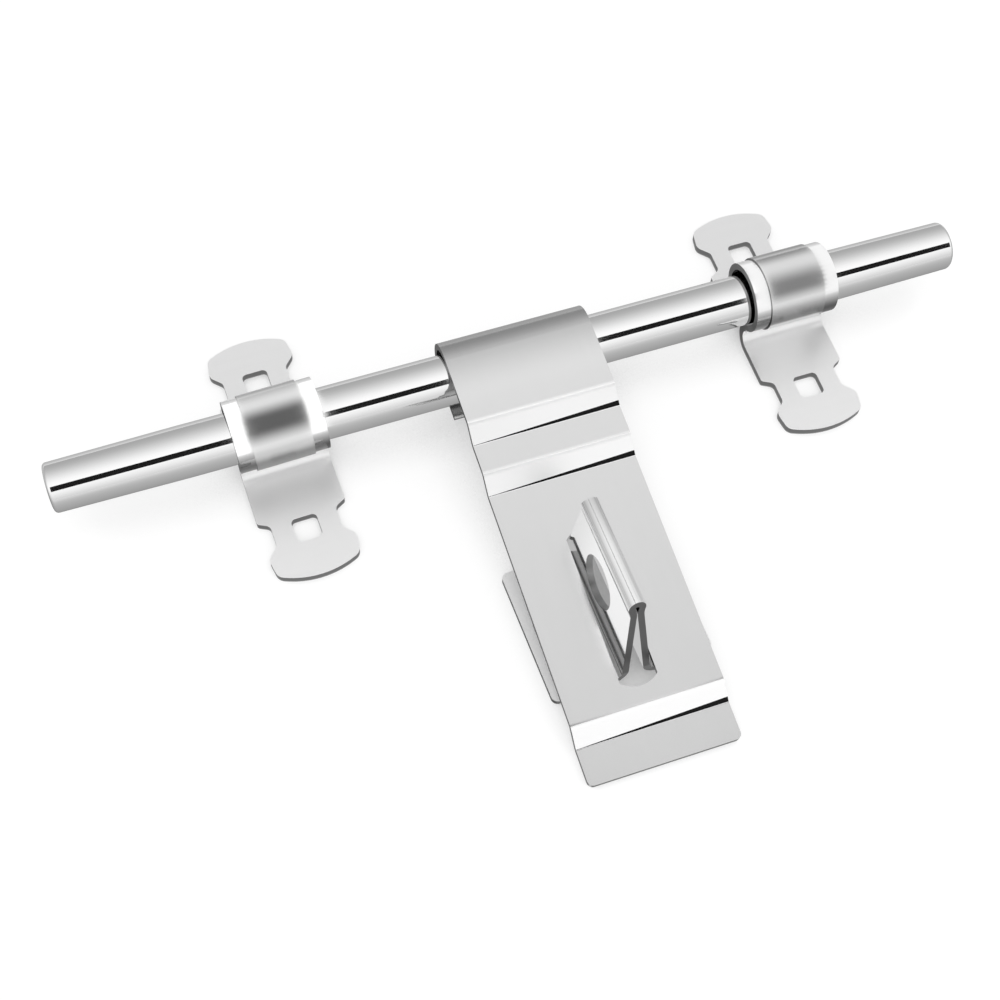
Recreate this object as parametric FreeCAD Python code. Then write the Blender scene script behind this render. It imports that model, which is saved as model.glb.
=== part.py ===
import FreeCAD, Part
import math
import os

# A door bolt with a hasp. A round rod slides in two saddle guides, and the hasp
# that is folded round the middle of the rod drops over a folded staple, which
# then takes a padlock.
#
# X runs along the rod, the hasp points to -Y and Z points out of the door. The
# door's surface is Z = 0, and the origin lies on it, under the rod, at the
# middle of the hasp. Lengths are in millimetres and angles in degrees.

# Rod
ROD_DIAMETER = 16.0
ROD_LENGTH = 290.0
ROD_END_DIAMETER = 15.3
ROD_TAPER_LENGTH = 40.0
ROD_RIM_ROUND = 1.2

# Guides, folded from one strip each
GUIDE_SHEET = 2.5
GUIDE_WIDTH = 27.5
LEFT_GUIDE_INSET = 68.3
RIGHT_GUIDE_INSET = 56.3
LEFT_GUIDE_TURN = 1.3
GUIDE_BORE_CLEARANCE = 1.1
GUIDE_ROD_DROP = 0.9
GUIDE_UNDERWRAP_ANGLE = 54.0
GUIDE_FOOT_BEND = 3.6
GUIDE_BAND_WIDTH = 4.8
GUIDE_BAND_DEPTH = 0.5

# Flanges of a guide, measured from the rod's axis outwards
GUIDE_LOWER_HOLE_DISTANCE = 27.9
GUIDE_UPPER_HOLE_DISTANCE = 26.3
GUIDE_END_MARGIN = 16.0
GUIDE_NECK_WIDTH = 20.4
GUIDE_NECK_LENGTH = 7.0
GUIDE_SHOULDER_LENGTH = 1.9
GUIDE_HEAD_WIDTH = 27.4
GUIDE_HEAD_FLARE = 3.6
GUIDE_HEAD_END_WIDTH = 25.4
GUIDE_HEAD_BOW = 3.2
GUIDE_HEAD_ROUND = 3.0
GUIDE_NECK_ROUND = 2.0
GUIDE_SHOULDER_ROUND = 1.0

# Square holes for coach bolts
BOLT_HOLE = 8.0
BOLT_HOLE_ROUND = 1.5

# Staple, folded from one sheet and turned a little on the door
STAPLE_SHEET = 2.0
STAPLE_HEIGHT = 38.2
STAPLE_LENGTH = 43.0
STAPLE_DISTANCE = 81.0
STAPLE_TURN = 2.0
STAPLE_BEAD_BORE = 1.2
STAPLE_NECK_GAP = 0.2
STAPLE_NECK_BEND = 7.0
STAPLE_LEAF_SPREAD = 4.8
STAPLE_FOOT_BEND = 5.0
STAPLE_FLANGE_REACH = 25.0
STAPLE_FLANGE_ROUND = 2.0
STAPLE_HOLE_MARGIN = 7.0
STAPLE_FAR_SLANT = 2.0
STAPLE_NEAR_SLANT = 7.0
PADLOCK_HOLE = 16.4
PADLOCK_HOLE_SHIFT = 2.2
PADLOCK_HOLE_GAP = 0.1

# Hasp, folded from one plate and measured along it from the rod's axis
HASP_SHEET = 2.0
HASP_WIDTH = 46.4
HASP_WRAP_CLEARANCE = 0.05
HASP_WRAP_SETBACK = 1.6
HASP_TAIL_LENGTH = 9.5
HASP_STEP_DROP = 4.2
HASP_STEP_RUN = 5.75
HASP_STEP_BEND = 0.8
HASP_UPPER_LAND = 9.5
HASP_SLOT_LAND = 17.7
HASP_LOWER_LAND = 5.1
HASP_TIP_LAND = 11.3
HASP_TIP_ROUND = 1.8
HASP_TIP_CLEARANCE = 0.2
SLOT_SIDE_CLEARANCE = 0.7
SLOT_FAR_CLEARANCE = 2.0
SLOT_NEAR_CLEARANCE = 5.4
SLOT_END_BOW = 2.2

# Guides: their places, reach, bore and bends, and the height these give the rod
ROD_RADIUS = ROD_DIAMETER / 2
LEFT_GUIDE_X = LEFT_GUIDE_INSET - ROD_LENGTH / 2
RIGHT_GUIDE_X = ROD_LENGTH / 2 - RIGHT_GUIDE_INSET
GUIDE_UPPER_REACH = GUIDE_UPPER_HOLE_DISTANCE + GUIDE_END_MARGIN
GUIDE_LOWER_REACH = GUIDE_LOWER_HOLE_DISTANCE + GUIDE_END_MARGIN
BORE_RADIUS = ROD_RADIUS + GUIDE_BORE_CLEARANCE
HUMP_RADIUS = BORE_RADIUS + GUIDE_SHEET
HUMP_BEND = BORE_RADIUS + GUIDE_SHEET / 2
FOOT_BEND = GUIDE_FOOT_BEND + GUIDE_SHEET / 2
FOOT_Z = GUIDE_SHEET / 2 + FOOT_BEND
HUMP_Z = FOOT_Z + (HUMP_BEND + FOOT_BEND) * math.sin(math.radians(GUIDE_UNDERWRAP_ANGLE))
FOOT_Y = (HUMP_BEND + FOOT_BEND) * math.cos(math.radians(GUIDE_UNDERWRAP_ANGLE))
ROD_Z = HUMP_Z - GUIDE_ROD_DROP

# Staple section: the bead on top, the neck under it and the spreading leaves
LEAF_TAN = math.tan(math.radians(STAPLE_LEAF_SPREAD))
LEAF_SIN = math.sin(math.radians(STAPLE_LEAF_SPREAD))
LEAF_COS = math.cos(math.radians(STAPLE_LEAF_SPREAD))
BEAD_BEND = (STAPLE_BEAD_BORE + STAPLE_SHEET) / 2
BEAD_Z = STAPLE_HEIGHT - STAPLE_SHEET / 2 - BEAD_BEND
NECK_BEND = STAPLE_NECK_BEND + STAPLE_SHEET / 2
NECK_X = NECK_BEND + (STAPLE_NECK_GAP + STAPLE_SHEET) / 2
BEAD_ANGLE = math.degrees(math.acos(NECK_X / (NECK_BEND + BEAD_BEND)))
NECK_Z = BEAD_Z - (NECK_BEND + BEAD_BEND) * math.sin(math.radians(BEAD_ANGLE))
LEAF_TOP_X = NECK_X - NECK_BEND * LEAF_COS
LEAF_TOP_Z = NECK_Z - NECK_BEND * LEAF_SIN
STAPLE_FOOT = STAPLE_FOOT_BEND + STAPLE_SHEET / 2
STAPLE_FOOT_Z = STAPLE_SHEET / 2 + STAPLE_FOOT
LEAF_FOOT_Z = STAPLE_FOOT_Z - STAPLE_FOOT * LEAF_SIN
STAPLE_FOOT_X = LEAF_TOP_X + (LEAF_TOP_Z - LEAF_FOOT_Z) * LEAF_TAN + STAPLE_FOOT * LEAF_COS
STAPLE_FAR_Y = STAPLE_LENGTH / 2 - STAPLE_DISTANCE
STAPLE_NEAR_Y = -STAPLE_LENGTH / 2 - STAPLE_DISTANCE

# Slot in the hasp: it clears the feet of the leaves all round
LEAF_HALF_WIDTH = LEAF_TOP_X + (LEAF_TOP_Z - LEAF_FOOT_Z) * LEAF_TAN + STAPLE_SHEET / 2 / LEAF_COS
TURN_SHIFT = STAPLE_LENGTH / 2 * math.sin(math.radians(STAPLE_TURN))
SLOT_HALF_WIDTH = LEAF_HALF_WIDTH + TURN_SHIFT + SLOT_SIDE_CLEARANCE
SLOT_FAR = math.hypot(STAPLE_FAR_Y, ROD_Z - LEAF_FOOT_Z) - SLOT_FAR_CLEARANCE
SLOT_NEAR = math.hypot(STAPLE_NEAR_Y, ROD_Z - LEAF_FOOT_Z) + SLOT_NEAR_CLEARANCE

# Hasp: places of its steps, and the lean that brings its tip down to the door
WRAP_RADIUS = ROD_RADIUS + HASP_WRAP_CLEARANCE
WRAP_BEND = WRAP_RADIUS + HASP_SHEET / 2
SECOND_STEP = SLOT_FAR - HASP_SLOT_LAND - HASP_STEP_RUN
FIRST_STEP = SECOND_STEP - HASP_UPPER_LAND - HASP_STEP_RUN
THIRD_STEP = SLOT_NEAR + HASP_LOWER_LAND
HASP_REACH = THIRD_STEP + HASP_STEP_RUN + HASP_TIP_LAND
TIP_UNDERSIDE = WRAP_RADIUS - 3 * HASP_STEP_DROP
TIP_RADIUS = math.hypot(HASP_REACH, TIP_UNDERSIDE)
TIP_ANGLE = math.atan2(TIP_UNDERSIDE, HASP_REACH)
HASP_LEAN = math.degrees(math.asin((ROD_Z - HASP_TIP_CLEARANCE) / TIP_RADIUS) + TIP_ANGLE)

# Padlock hole: its lowest point stands just clear of the hasp that lies round it
SLOT_LEVEL = WRAP_RADIUS + HASP_SHEET - 2 * HASP_STEP_DROP
PADLOCK_HOLE_Y = PADLOCK_HOLE_SHIFT - STAPLE_DISTANCE
HASP_TOP_Z = (ROD_Z + PADLOCK_HOLE_Y * math.tan(math.radians(HASP_LEAN))
              + SLOT_LEVEL / math.cos(math.radians(HASP_LEAN)))
PADLOCK_HOLE_Z = HASP_TOP_Z + PADLOCK_HOLE_GAP + PADLOCK_HOLE / 2

X_AXIS = FreeCAD.Vector(1, 0, 0)
Y_AXIS = FreeCAD.Vector(0, 1, 0)
Z_AXIS = FreeCAD.Vector(0, 0, 1)
ORIGIN = FreeCAD.Vector(0, 0, 0)
PAST = 1.0


def polar(centre, radius, angle):
    """The point at an angle on a circle, as a pair."""
    turn = math.radians(angle)
    return (centre[0] + radius * math.cos(turn), centre[1] + radius * math.sin(turn))


def bend(before, corner, after, radius):
    """The arc that rounds a corner of a path: its centre, radius and two angles."""
    into = math.atan2(corner[1] - before[1], corner[0] - before[0])
    out = math.atan2(after[1] - corner[1], after[0] - corner[0])
    turn = math.remainder(out - into, 2 * math.pi)
    side = math.copysign(1, turn)
    back = radius * math.tan(abs(turn) / 2)
    start = (corner[0] - back * math.cos(into), corner[1] - back * math.sin(into))
    centre = (start[0] - side * radius * math.sin(into), start[1] + side * radius * math.cos(into))
    first = math.degrees(into) - side * 90
    return (centre, radius, first, first + math.degrees(turn))


def beside(tip, arc, angle, side_point):
    """A tip of the path, moved off it as far as the side of the nearest arc is."""
    on_path = polar(arc[0], arc[1], angle)
    return (tip[0] + side_point[0] - on_path[0], tip[1] + side_point[1] - on_path[1])


def sheet_side(start, arcs, end, offset):
    """The edges of one face of a sheet, a distance to the left of its middle path."""
    points = []
    for centre, radius, first, last in arcs:
        side = radius - offset * math.copysign(1, last - first)
        points.append([polar(centre, side, angle) for angle in (first, (first + last) / 2, last)])
    return (beside(start, arcs[0], arcs[0][2], points[0][0]), points,
            beside(end, arcs[-1], arcs[-1][3], points[-1][2]))


def sheet_face(start, arcs, end, thickness, place):
    """The cross-section of a folded sheet whose middle runs along arcs joined by lines."""
    edges = []
    ends = []
    for offset in (thickness / 2, -thickness / 2):
        opening, points, closing = sheet_side(start, arcs, end, offset)
        ends.append((place(*opening), place(*closing)))
        here = place(*opening)
        for first, middle, last in points:
            if here.distanceToPoint(place(*first)) > 1e-6:
                edges.append(Part.LineSegment(here, place(*first)).toShape())
            edges.append(Part.Arc(place(*first), place(*middle), place(*last)).toShape())
            here = place(*last)
        edges.append(Part.LineSegment(here, place(*closing)).toShape())
    edges.append(Part.LineSegment(ends[0][0], ends[1][0]).toShape())
    edges.append(Part.LineSegment(ends[0][1], ends[1][1]).toShape())
    return Part.Face(Part.Wire(Part.__sortEdges__(edges)))


def block(x_range, y_range, z_range):
    """A box between two values on each axis."""
    size = [high - low for low, high in (x_range, y_range, z_range)]
    return Part.makeBox(*size, FreeCAD.Vector(x_range[0], y_range[0], z_range[0]))


def upright_edges(shape, keep=lambda point: True):
    """The straight edges along Z whose middle passes a test."""
    chosen = []
    for edge in shape.Edges:
        first, last = edge.Vertexes[0].Point, edge.Vertexes[-1].Point
        if math.hypot(last.x - first.x, last.y - first.y) < 1e-6 and keep((first + last) / 2):
            chosen.append(edge)
    return chosen


def bolt_hole(x, y, sheet):
    """A square hole with slightly rounded corners, through a sheet that lies on the door."""
    half = BOLT_HOLE / 2
    hole = block((x - half, x + half), (y - half, y + half), (-PAST, sheet + PAST))
    return hole.makeFillet(BOLT_HOLE_ROUND, upright_edges(hole))


def rod():
    """A round bar, drawn down a little towards both ends, with rounded rims."""
    half = ROD_LENGTH / 2
    rim_centre = (half - ROD_RIM_ROUND, ROD_END_DIAMETER / 2 - ROD_RIM_ROUND)
    rim = [FreeCAD.Vector(*polar(rim_centre, ROD_RIM_ROUND, angle), 0) for angle in (0, 45, 90)]
    path = [rim[2], FreeCAD.Vector(half - ROD_TAPER_LENGTH, ROD_RADIUS, 0), FreeCAD.Vector(0, ROD_RADIUS, 0),
            ORIGIN, FreeCAD.Vector(half, 0, 0), rim[0]]
    outline = [Part.Arc(*rim)] + [Part.LineSegment(near, far) for near, far in zip(path, path[1:])]
    face = Part.Face(Part.Wire([edge.toShape() for edge in outline]))
    right_half = face.revolve(ORIGIN, X_AXIS, 360)
    bar = right_half.fuse(right_half.mirror(ORIGIN, X_AXIS)).removeSplitter()
    bar.translate(Z_AXIS * ROD_Z)
    return bar


def guide_section():
    """The strip over the rod: flanges on the door, bends under the rod and the hump."""
    wrap = GUIDE_UNDERWRAP_ANGLE
    flat = GUIDE_SHEET / 2
    arcs = [((-FOOT_Y, FOOT_Z), FOOT_BEND, -90, wrap),
            ((0, HUMP_Z), HUMP_BEND, 180 + wrap, -wrap),
            ((FOOT_Y, FOOT_Z), FOOT_BEND, 180 - wrap, 270)]
    return sheet_face((-GUIDE_LOWER_REACH, flat), arcs, (GUIDE_UPPER_REACH, flat), GUIDE_SHEET,
                      lambda y, z: FreeCAD.Vector(-GUIDE_WIDTH / 2, y, z))


def guide_quarter(hole_distance):
    """Half the plan of one flange: a shoulder, a neck beside the hole and a flared head."""
    neck_start = hole_distance - BOLT_HOLE / 2
    neck_end = neck_start + GUIDE_NECK_LENGTH
    head_end = hole_distance + GUIDE_END_MARGIN - GUIDE_HEAD_BOW
    return [(GUIDE_WIDTH / 2, neck_start - GUIDE_SHOULDER_LENGTH),
            (GUIDE_NECK_WIDTH / 2, neck_start),
            (GUIDE_NECK_WIDTH / 2, neck_end),
            (GUIDE_HEAD_WIDTH / 2, neck_end + GUIDE_HEAD_FLARE),
            (GUIDE_HEAD_END_WIDTH / 2, head_end)]


def guide_rounds(prism):
    """A guide's plan with its corners rounded, most at the heads and least at the shoulders."""
    neck = GUIDE_NECK_WIDTH / 2 + 1e-3
    shoulder = GUIDE_WIDTH / 2 - 1e-3
    holes = max(GUIDE_UPPER_HOLE_DISTANCE, GUIDE_LOWER_HOLE_DISTANCE)
    corners = ((GUIDE_HEAD_ROUND, lambda point: abs(point.x) > neck and abs(point.y) > holes),
               (GUIDE_NECK_ROUND, lambda point: abs(point.x) < neck),
               (GUIDE_SHOULDER_ROUND, lambda point: abs(point.x) > shoulder and abs(point.y) < holes))
    for radius, chosen in corners:
        prism = prism.makeFillet(radius, upright_edges(prism, chosen))
    return prism


def guide_outline():
    """The plan of a guide, with one flange on each side of the rod and bowed ends."""
    flanges = []
    for side, hole_distance in ((1, GUIDE_UPPER_HOLE_DISTANCE), (-1, GUIDE_LOWER_HOLE_DISTANCE)):
        quarter = guide_quarter(hole_distance)
        flange = quarter + [(-x, y) for x, y in reversed(quarter)]
        flanges.append([FreeCAD.Vector(side * x, side * y, -PAST) for x, y in flange])
    edges = []
    tips = (GUIDE_UPPER_REACH, -GUIDE_LOWER_REACH)
    for points, tip, onward in zip(flanges, tips, reversed(flanges)):
        middle = len(points) // 2
        for near, far in zip(points[:middle], points[1:middle]):
            edges.append(Part.LineSegment(near, far))
        edges.append(Part.Arc(points[middle - 1], FreeCAD.Vector(0, tip, -PAST), points[middle]))
        for near, far in zip(points[middle:], points[middle + 1:] + onward[:1]):
            edges.append(Part.LineSegment(near, far))
    plan = Part.Face(Part.Wire([edge.toShape() for edge in edges]))
    prism = plan.extrude(Z_AXIS * (HUMP_Z + HUMP_RADIUS + 2 * PAST))
    return guide_rounds(prism)


def guide_bands():
    """The two shallow rings that lower the ends of the hump."""
    across = GUIDE_WIDTH / 2
    ring_z = HUMP_Z - HUMP_RADIUS * math.sin(math.radians(GUIDE_UNDERWRAP_ANGLE))
    rings = []
    for start in (-across - PAST, across - GUIDE_BAND_WIDTH):
        place = FreeCAD.Vector(start, 0, HUMP_Z)
        width = GUIDE_BAND_WIDTH + PAST
        outer = Part.makeCylinder(HUMP_RADIUS + PAST, width, place, X_AXIS)
        inner = Part.makeCylinder(HUMP_RADIUS - GUIDE_BAND_DEPTH, width, place, X_AXIS)
        span = (-2 * HUMP_RADIUS, 2 * HUMP_RADIUS)
        above = block((start, start + width), span, (ring_z, HUMP_Z + 2 * HUMP_RADIUS))
        rings.append(outer.cut(inner).common(above))
    return rings


def guide(x, turn=0):
    """A saddle guide that holds the rod to the door, at a place along the rod."""
    strip = guide_section().extrude(X_AXIS * GUIDE_WIDTH)
    saddle = strip.common(guide_outline())
    holes = [bolt_hole(0, y, GUIDE_SHEET) for y in (GUIDE_UPPER_HOLE_DISTANCE, -GUIDE_LOWER_HOLE_DISTANCE)]
    saddle = saddle.cut(holes + guide_bands())
    saddle.rotate(ORIGIN, Z_AXIS, turn)
    saddle.translate(X_AXIS * x)
    return saddle


def staple_section():
    """The sheet folded into a flange, a leaf, the bead, the other leaf and its flange."""
    spread = STAPLE_LEAF_SPREAD
    flange = STAPLE_SHEET / 2
    arcs = [((-STAPLE_FOOT_X, STAPLE_FOOT_Z), STAPLE_FOOT, -90, -spread),
            ((-NECK_X, NECK_Z), NECK_BEND, -spread, BEAD_ANGLE),
            ((0, BEAD_Z), BEAD_BEND, 180 + BEAD_ANGLE, -BEAD_ANGLE),
            ((NECK_X, NECK_Z), NECK_BEND, 180 - BEAD_ANGLE, 180 + spread),
            ((STAPLE_FOOT_X, STAPLE_FOOT_Z), STAPLE_FOOT, 180 + spread, 270)]
    return sheet_face((-STAPLE_FLANGE_REACH, flange), arcs, (STAPLE_FLANGE_REACH, flange), STAPLE_SHEET,
                      lambda x, z: FreeCAD.Vector(x, -STAPLE_LENGTH / 2, z))


def slant_cut(side, slant):
    """The wedge that cuts one end of the leaves back towards the top."""
    end = side * STAPLE_LENGTH / 2
    top = STAPLE_HEIGHT
    low = LEAF_FOOT_Z
    lean = slant / (top - low)
    corners = [(end, low), (end + side * PAST, low), (end + side * PAST, top + PAST),
               (end - side * lean * (top + PAST - low), top + PAST), (end, low)]
    width = STAPLE_FLANGE_REACH
    wire = Part.makePolygon([FreeCAD.Vector(-width, y, z) for y, z in corners])
    return Part.Face(wire).extrude(X_AXIS * 2 * width)


def staple():
    """The eye for the padlock: two leaves side by side on two flanges."""
    sheet = staple_section().extrude(Y_AXIS * STAPLE_LENGTH)
    corners = upright_edges(sheet, lambda point: abs(point.x) > STAPLE_FLANGE_REACH - PAST)
    sheet = sheet.makeFillet(STAPLE_FLANGE_ROUND, corners)
    start = FreeCAD.Vector(-STAPLE_FLANGE_REACH, PADLOCK_HOLE_SHIFT, PADLOCK_HOLE_Z)
    tools = [Part.makeCylinder(PADLOCK_HOLE / 2, 2 * STAPLE_FLANGE_REACH, start, X_AXIS),
             slant_cut(1, STAPLE_FAR_SLANT), slant_cut(-1, STAPLE_NEAR_SLANT)]
    hole_x = STAPLE_FLANGE_REACH - STAPLE_HOLE_MARGIN
    tools += [bolt_hole(side * hole_x, 0, STAPLE_SHEET) for side in (-1, 1)]
    eye = sheet.cut(tools)
    eye.rotate(ORIGIN, Z_AXIS, STAPLE_TURN)
    eye.translate(Y_AXIS * -STAPLE_DISTANCE)
    return eye


def hasp_section():
    """The plate folded round the rod, then stepped down three times towards the door."""
    path = [(HASP_WRAP_SETBACK, WRAP_BEND)]
    level = WRAP_BEND
    for step in (FIRST_STEP, SECOND_STEP, THIRD_STEP):
        path += [(-step, level), (-step - HASP_STEP_RUN, level - HASP_STEP_DROP)]
        level -= HASP_STEP_DROP
    path.append((-HASP_REACH, level))
    step_bend = HASP_STEP_BEND + HASP_SHEET / 2
    arcs = [((HASP_WRAP_SETBACK, 0), WRAP_BEND, -90, 90)]
    arcs += [bend(*corner, step_bend) for corner in zip(path, path[1:], path[2:])]
    return sheet_face((-HASP_TAIL_LENGTH, -WRAP_BEND), arcs, path[-1], HASP_SHEET,
                      lambda y, z: FreeCAD.Vector(-HASP_WIDTH / 2, y, z))


def slot_tool():
    """The slot that drops over the staple: straight sides and bowed ends."""
    half = SLOT_HALF_WIDTH
    low = -2 * WRAP_BEND
    far, near = -SLOT_FAR, -SLOT_NEAR
    corners = [FreeCAD.Vector(x, y, low) for x, y in
               ((-half, far - SLOT_END_BOW), (half, far - SLOT_END_BOW),
                (half, near + SLOT_END_BOW), (-half, near + SLOT_END_BOW))]
    edges = [Part.Arc(corners[0], FreeCAD.Vector(0, far, low), corners[1]),
             Part.LineSegment(corners[1], corners[2]),
             Part.Arc(corners[2], FreeCAD.Vector(0, near, low), corners[3]),
             Part.LineSegment(corners[3], corners[0])]
    plan = Part.Face(Part.Wire([edge.toShape() for edge in edges]))
    return plan.extrude(Z_AXIS * 4 * WRAP_BEND)


def tail_edges(shape):
    """The two edges along X at the free end of the tail under the rod."""
    chosen = []
    for edge in shape.Edges:
        middle = edge.CenterOfMass
        if abs(middle.y + HASP_TAIL_LENGTH) < 1e-3 and abs(edge.Length - HASP_WIDTH) < 1e-3:
            chosen.append(edge)
    return chosen


def hasp():
    """The folded plate that swings with the rod and is locked over the staple."""
    plate = hasp_section().extrude(X_AXIS * HASP_WIDTH)
    plate = plate.makeFillet(0.49 * HASP_SHEET, tail_edges(plate))
    tip_corners = upright_edges(plate, lambda point: point.y < PAST - HASP_REACH)
    plate = plate.makeFillet(HASP_TIP_ROUND, tip_corners)
    plate = plate.cut(slot_tool())
    plate.rotate(ORIGIN, X_AXIS, HASP_LEAN)
    plate.translate(Z_AXIS * ROD_Z)
    return plate


def pieces():
    """Every piece of the bolt by name."""
    return {"rod": rod(),
            "guide_left": guide(LEFT_GUIDE_X, LEFT_GUIDE_TURN),
            "guide_right": guide(RIGHT_GUIDE_X),
            "staple": staple(),
            "hasp": hasp()}


os.makedirs("parts", exist_ok=True)
for name, shape in pieces().items():
    shape.exportStep("parts/" + name + ".step")
print("rod axis height", round(ROD_Z, 4))
print("hasp lean", round(HASP_LEAN, 3), "reach", round(HASP_REACH, 3))
print("steps", round(FIRST_STEP, 2), round(SECOND_STEP, 2), round(THIRD_STEP, 2))
print("slot", round(SLOT_FAR, 2), "to", round(SLOT_NEAR, 2), "half width", round(SLOT_HALF_WIDTH, 3))
print("padlock hole height", round(PADLOCK_HOLE_Z, 3))
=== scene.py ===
# %% [markdown]
# # A door bolt with a hasp and a staple
#
# The object is a stainless steel bolt for a door. A round rod slides in two
# guides, and a stepped hasp that is folded round the rod drops over a staple,
# which takes a padlock. Every piece is bare metal, so nearly all of its look
# comes from what it mirrors, from how well each part of it was polished, and
# from shade and highlights painted into its colour in places.
#
# The shapes come from the imported CAD model. It is loaded as a fixed frame, in
# metres, with the door's surface at Z = 0 and the rod along X.

import math

import bpy
from mathutils import Matrix, Vector


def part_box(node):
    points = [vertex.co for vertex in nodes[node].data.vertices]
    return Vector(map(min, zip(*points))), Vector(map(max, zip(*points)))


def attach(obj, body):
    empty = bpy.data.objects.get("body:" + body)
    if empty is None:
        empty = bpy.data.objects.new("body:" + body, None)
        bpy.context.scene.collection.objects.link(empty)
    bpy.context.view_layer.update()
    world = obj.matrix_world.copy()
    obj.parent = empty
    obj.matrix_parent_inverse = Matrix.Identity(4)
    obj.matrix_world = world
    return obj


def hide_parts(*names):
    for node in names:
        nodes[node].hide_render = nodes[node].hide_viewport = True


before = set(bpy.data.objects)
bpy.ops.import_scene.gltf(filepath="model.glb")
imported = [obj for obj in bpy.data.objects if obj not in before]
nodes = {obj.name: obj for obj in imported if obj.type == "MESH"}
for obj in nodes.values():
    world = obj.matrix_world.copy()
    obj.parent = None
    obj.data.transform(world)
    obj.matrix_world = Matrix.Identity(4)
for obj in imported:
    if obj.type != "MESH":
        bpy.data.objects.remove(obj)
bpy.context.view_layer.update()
print("pieces", sorted(nodes))

# %% [markdown]
# ## The camera
#
# A camera is placed most easily by what it looks at: a target, a distance, and
# two angles round the target. The small roll is the tilt of the picture itself.
# Working out the three axes of the camera and writing them into its matrix is
# safer than Euler angles, because there is no order of turns to get wrong.

# %% Camera on the photograph's line of sight
VIEW_AZIMUTH = math.radians(-21.47)
VIEW_ELEVATION = math.radians(62.16)
VIEW_ROLL = math.radians(3.12)
VIEW_DISTANCE = 0.48086
VIEW_TARGET = Vector((-0.01741, -0.03558, 0))
LENS = 56.64
SENSOR_WIDTH = 36

scene = bpy.context.scene
back = Vector((math.sin(VIEW_AZIMUTH) * math.cos(VIEW_ELEVATION),
               -math.cos(VIEW_AZIMUTH) * math.cos(VIEW_ELEVATION),
               math.sin(VIEW_ELEVATION)))
level = Vector((math.cos(VIEW_AZIMUTH), math.sin(VIEW_AZIMUTH), 0))
up = back.cross(level)
right = level * math.cos(VIEW_ROLL) + up * math.sin(VIEW_ROLL)
top = up * math.cos(VIEW_ROLL) - level * math.sin(VIEW_ROLL)

camera = bpy.data.objects.new("camera", bpy.data.cameras.new("camera"))
scene.collection.objects.link(camera)
camera.data.lens = LENS
camera.data.sensor_width = SENSOR_WIDTH
turn = Matrix((right, top, back)).transposed()
camera.matrix_world = Matrix.Translation(VIEW_TARGET + back * VIEW_DISTANCE) @ turn.to_4x4()
scene.camera = camera
scene.view_settings.view_transform = "Standard"
print("camera at", [round(1000 * v) for v in camera.location], "mm")

# %% [markdown]
# ## Small helpers for node trees
#
# Materials, the world and the Geometry Nodes are all trees of nodes. A few short
# helpers keep them readable. The first makes a node and plugs its inputs: a value
# goes into a socket, and a socket is linked. The others are built on it and hand
# back the socket with the result.

# %% Node helpers
WHITE = (1, 1, 1, 1)


def node(tree, kind, inputs=(), **settings):
    """A node of a tree. An input is given a value, or linked if it gets a socket."""
    made = tree.nodes.new(kind)
    for name, value in settings.items():
        setattr(made, name, value)
    for key, value in dict(inputs).items():
        if isinstance(value, bpy.types.NodeSocket):
            tree.links.new(value, made.inputs[key])
        else:
            made.inputs[key].default_value = value
    return made


def maths(tree, operation, first, second=0.0, third=0.0):
    """The result of a maths node."""
    return node(tree, "ShaderNodeMath", {0: first, 1: second, 2: third}, operation=operation).outputs[0]


print("node and maths ready")

# %% Helpers for one value
def between(tree, value, low, high, start=0.0, end=1.0, course="LINEAR"):
    """A value that goes from start to end while the input goes from low to high."""
    limits = {"Value": value, "From Min": low, "From Max": high, "To Min": start, "To Max": end}
    return node(tree, "ShaderNodeMapRange", limits, interpolation_type=course).outputs["Result"]


def ramp(tree, value, low, high, start=0.0, end=1.0):
    """The same, with a soft start and a soft end."""
    return between(tree, value, low, high, start, end, "SMOOTHSTEP")


def mixed(tree, mask, first, second):
    """One value where the mask is 0 and another where it is 1."""
    made = node(tree, "ShaderNodeMix", {"Factor": mask, "A": first, "B": second}, data_type="FLOAT")
    return made.outputs["Result"]


print("value helpers ready")

# %% Helpers for vectors and noise
def split(tree, vector):
    """The X, Y and Z of a vector."""
    return node(tree, "ShaderNodeSeparateXYZ", {0: vector}).outputs


def component(tree, vector, direction):
    """How far a vector reaches in a direction."""
    made = node(tree, "ShaderNodeVectorMath", {0: vector, 1: direction}, operation="DOT_PRODUCT")
    return made.outputs["Value"]


def distance(tree, first, second):
    """How far off a point is, from its distances along two axes."""
    squares = [maths(tree, "MULTIPLY", side, side) for side in (first, second)]
    return maths(tree, "SQRT", maths(tree, "ADD", *squares))


def noise(tree, vector, scale, detail, roughness):
    """Soft noise whose middle is 0.5."""
    return node(tree, "ShaderNodeTexNoise", {"Vector": vector, "Scale": scale, "Detail": detail,
                                             "Roughness": roughness}).outputs["Fac"]


print("vector helpers ready")

# %% [markdown]
# ## The studio
#
# Polished metal shows the room rather than a colour of its own. The room here is
# a white tent, brightest along the camera's side and softer towards the horizon
# and behind the object. A gradient in the world is the simplest such tent: it
# has no edges, so the rod shades evenly from a bright middle to grey sides. One
# patch of it glows more for light that was mirrored twice, because the staple's
# steep side shows the tent only by way of the hasp under it.

# %% The tent as a gradient in the world
TENT_LOW = 0.46
TENT_RISE = 0.78
TENT_FALL = 3.1
TENT_ANGLE = math.radians(31)
TENT_SIDE = 0.3
WINDOW_DIRECTION = (-0.34, 0.27, 0.90)
WINDOW_EDGE = math.cos(math.radians(30))
WINDOW_CORE = math.cos(math.radians(14))
WINDOW_GLOW = 0.42
ONE_MIRROR = 1.5

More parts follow.
